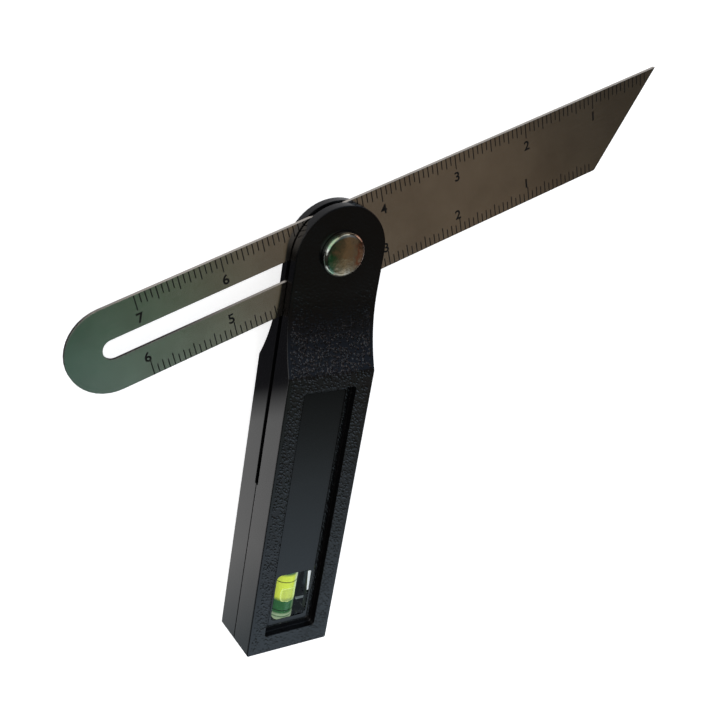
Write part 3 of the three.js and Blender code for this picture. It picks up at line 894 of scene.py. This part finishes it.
headPlace = Matrix.Translation(pivot + Vector((0, 0, clamp["seat"])))
headSteps = 8
headProfile = [
    (0, 0), (clamp["headRadius"] - clamp["chamfer"], 0), (clamp["headRadius"], clamp["chamfer"]),
    (clamp["headRadius"], clamp["rim"]),
]
for i in range(1, headSteps + 1):
    turn = math.pi / 2 * i / headSteps
    headProfile.append((
        clamp["crownRadius"] + (clamp["headRadius"] - clamp["crownRadius"]) * math.cos(turn),
        clamp["rim"] + (clamp["crownEdge"] - clamp["rim"]) * math.sin(turn),
    ))
for i in range(1, headSteps + 1):
    share = 1 - i / headSteps
    headProfile.append((
        clamp["crownRadius"] * share,
        clamp["headHeight"] - (clamp["headHeight"] - clamp["crownEdge"]) * share ** 2,
    ))
points, faces = turnedPoints(headProfile, clamp["turnSteps"], headPlace)
shankPoints, shankFaces = threadedShank(-clamp["length"], -clamp["neckDepth"])
first = len(points)
points += [headPlace @ p for p in shankPoints]
faces += [[first + i for i in face] for face in shankFaces]
first = len(points)
side = clamp["neck"] / 2
for z in (-clamp["neckDepth"] - clamp["overlap"], clamp["neckTop"]):
    points += [headPlace @ Vector((x, y, z)) for x, y in ((-side, -side), (side, -side), (side, side), (-side, side))]
faces += [[first + i for i in face] for face in boxFaces]
boltPiece = newPiece("clamp_bolt_skin", points, faces, "handle", "polished_steel", nickel, ["clamp_bolt"])
smoothByAngle(boltPiece.data, 35)
refined("wing_nut", "wing_nut", zinc, 50)
refined("plain_washer", "plain_washer", zinc, 40)
print("stage: clamp ready")

# CAD nodes that are shown as they are
for name, material in (
    ("front_friction_washer", nylon), ("rear_friction_washer", nylon), ("vial_plug", tubeAcrylic),
):
    nodes[name].data.materials.clear()
    nodes[name].data.materials.append(material)


# Floor, light and camera

floor = {
    "size": 3.0,
    "tone": 0.8,
    "low": Vector((0, 85.25, -8.3)) * mm,
    "end": Vector((0, -49.45, -0.05)) * mm,
    "lift": 0.75,
    "bandStart": 20 * mm,
    "bandEnd": -170 * mm,
    "paintedLevels": {
        "glow": (0.6, 0.6, 0.62), "shade": (0.06, 0.06, 0.07), "lit": (1.0, 1.0, 1.0), "far": (0.4, 0.45, 0.48),
    },
    # Painted light and shade that the gloss sees on the card, in mm along the handle: a glow at its head,
    # the tool's painted shade, the lit card, which dims towards the handle's end
    "zones": [(5, "glow"), (-8, "shade"), (-51, "shade"), (-62, "lit"), (-108, "lit"), (-145, "far")],
}


def floorMaterial():
    # Matt white card. The camera sees it lifted to white with its shadow.
    # The gloss sees painted light instead: an emitting band beside the handle, with painted shade, that dims towards
    # both ends.
    material, tree = newMaterial("white card")
    diffuse = addNode(tree, "ShaderNodeBsdfDiffuse", {"Color": grey(floor["tone"])})
    lift = addNode(tree, "ShaderNodeEmission", {"Color": grey(1), "Strength": floor["lift"]})
    path = addNode(tree, "ShaderNodeLightPath")
    seen = addNode(tree, "ShaderNodeMath", {"operation": "MAXIMUM"}, {
        0: path.outputs["Is Camera Ray"], 1: path.outputs["Is Transmission Ray"],
    })
    black = addNode(tree, "ShaderNodeEmission", {"Color": grey(0), "Strength": 0.0})
    chosen = addNode(tree, "ShaderNodeMixShader", links={
        0: seen.outputs["Value"], 1: black.outputs["Emission"], 2: lift.outputs["Emission"],
    })
    lit = addNode(tree, "ShaderNodeAddShader", links={
        0: diffuse.outputs["BSDF"], 1: chosen.outputs["Shader"],
    })
    start, end = floor["bandStart"], floor["bandEnd"]
    along = mapRange(tree, splitVector(tree, coordinates(tree, "Object"))["Y"], (start, end), (0.0, 1.0))
    band = colourRamp(tree, along, [
        ((start - offset * mm) / (start - end), floor["paintedLevels"][zone]) for offset, zone in floor["zones"]
    ])
    mirrored = addNode(tree, "ShaderNodeEmission", {"Strength": 1.0}, {"Color": band})
    total = addNode(tree, "ShaderNodeMixShader", links={
        0: path.outputs["Is Glossy Ray"], 1: lit.outputs["Shader"], 2: mirrored.outputs["Emission"],
    })
    showSurface(tree, total.outputs["Shader"])
    return material


slope = math.atan2(floor["end"].z - floor["low"].z, floor["low"].y - floor["end"].y)
half = floor["size"] / 2
floorMesh = bpy.data.meshes.new("floor")
floorMesh.from_pydata([(-half, -half, 0), (half, -half, 0), (half, half, 0), (-half, half, 0)], [], [(0, 1, 2, 3)])
floorMesh.materials.append(floorMaterial())
floorPiece = bpy.data.objects.new("floor", floorMesh)
bpy.context.scene.collection.objects.link(floorPiece)
floorPiece.matrix_world = Matrix.Translation(floor["low"]) @ Matrix.Rotation(-slope, 4, "X")

# The room as the surfaces see it: a dim brown room with softer and brighter patches.
# Azimuth and elevation are in degrees, azimuth from +X towards +Y.
roomBase = (0.048, 0.041, 0.035)
roomPatches = [
    # Brown ceiling, mirrored in the blade
    {"towards": (-27, 47), "inner": 12, "outer": 24, "colour": (0.1, 0.076, 0.05)},
    # Window behind the handle's end, mirrored in the front face up to the neck
    {"towards": (-62, 33), "inner": 10.5, "outer": 19.8, "colour": (0.64, 0.79, 0.97)},
    # Its glow on the ceiling, mirrored in the blade's lower prong
    {"towards": (-62, 33), "inner": 22.4, "outer": 24.8, "colour": (0.065, 0.1, 0.105)},
    # Green shade, mirrored in the blade's round end
    {"towards": (-53, 57), "inner": 4, "outer": 9.5, "colour": (-0.085, 0.008, -0.02)},
    # Dark doorway, mirrored near the blade's point
    {"towards": (-14, 41), "inner": 5, "outer": 8.2, "colour": (-0.1, -0.076, -0.055)},
    # Bluish far wall, mirrored in the swept neck
    {"towards": (45, 56), "inner": 12, "outer": 34, "colour": (0.17, 0.25, 0.37)},
    # Low daylight in front, mirrored in the bolt's rim and the recess's upper edge
    {"towards": (-95, 12), "inner": 8, "outer": 28, "colour": (1.5, 1.55, 1.6)},
    # Broad light from the viewer's side, so that the shadow hides behind the tool
    {"towards": (141, 46), "inner": 12, "outer": 46, "colour": (2.05, 2.05, 2.05)},
    # Warm wall to the right, mirrored in the bolt's rim
    {"towards": (14.7, 11.5), "inner": 6, "outer": 17, "colour": (0.9, 0.68, 0.6)},
    # Cool lamp high behind the head, caught by the grain of the neck
    {"towards": (66, 32), "inner": 5, "outer": 20, "colour": (0.95, 1.15, 1.4)},
]


def roomAim(azimuth, elevation):
    flat = math.cos(math.radians(elevation))
    return (
        flat * math.cos(math.radians(azimuth)), flat * math.sin(math.radians(azimuth)),
        math.sin(math.radians(elevation)),
    )


def buildRoom():
    world = bpy.data.worlds.new("room")
    bpy.context.scene.world = world
    world.use_nodes = True
    tree = world.node_tree
    tree.nodes.clear()
    unit = addNode(tree, "ShaderNodeVectorMath", {"operation": "NORMALIZE"}, {0: coordinates(tree, "Generated")})
    total = addNode(tree, "ShaderNodeVectorMath", {
        "operation": "SCALE", 0: roomBase, "Scale": 1.0,
    }).outputs["Vector"]
    for patch in roomPatches:
        closeness = addNode(tree, "ShaderNodeVectorMath", {
            "operation": "DOT_PRODUCT", 1: roomAim(*patch["towards"]),
        }, {0: unit.outputs["Vector"]})
        limits = [math.cos(math.radians(patch[edge])) for edge in ("outer", "inner")]
        amount = mapRange(tree, closeness.outputs["Value"], limits, (0.0, 1.0), True)
        glow = addNode(tree, "ShaderNodeVectorMath", {
            "operation": "SCALE", 0: patch["colour"],
        }, {"Scale": amount})
        total = addNode(tree, "ShaderNodeVectorMath", {"operation": "ADD"}, {
            0: total, 1: glow.outputs["Vector"],
        }).outputs["Vector"]
    room = addNode(tree, "ShaderNodeBackground", {"Strength": 1.0}, {"Color": total})
    white = addNode(tree, "ShaderNodeBackground", {"Color": grey(1), "Strength": 1.0})
    path = addNode(tree, "ShaderNodeLightPath")
    mix = addNode(tree, "ShaderNodeMixShader", links={
        0: path.outputs["Is Camera Ray"], 1: room.outputs["Background"], 2: white.outputs["Background"],
    })
    output = addNode(tree, "ShaderNodeOutputWorld")
    tree.links.new(mix.outputs["Shader"], output.inputs["Surface"])


buildRoom()

view = {
    "place": Vector((-179.9115, 204.1949, 274.9461)) * mm,
    "right": Vector((0.8383408, 0.1603191, 0.5210398)),
    "up": Vector((0.1057635, 0.8897876, -0.4439505)),
    "forward": Vector((0.5347885, -0.4272888, -0.7289894)),
    "lens": 60.834,
    "sensor": 36.0,
    "near": 0.01,
    "far": 20,
}
cameraData = bpy.data.cameras.new("camera")
cameraData.lens = view["lens"]
cameraData.sensor_width = view["sensor"]
cameraData.clip_start = view["near"]
cameraData.clip_end = view["far"]
camera = bpy.data.objects.new("camera", cameraData)
bpy.context.scene.collection.objects.link(camera)
camera.matrix_world = Matrix([
    (view["right"][i], view["up"][i], -view["forward"][i], view["place"][i]) for i in range(3)
] + [(0, 0, 0, 1)])
bpy.context.scene.camera = camera
bpy.context.scene.view_settings.view_transform = "Standard"
print("stage: floor, light and camera ready")
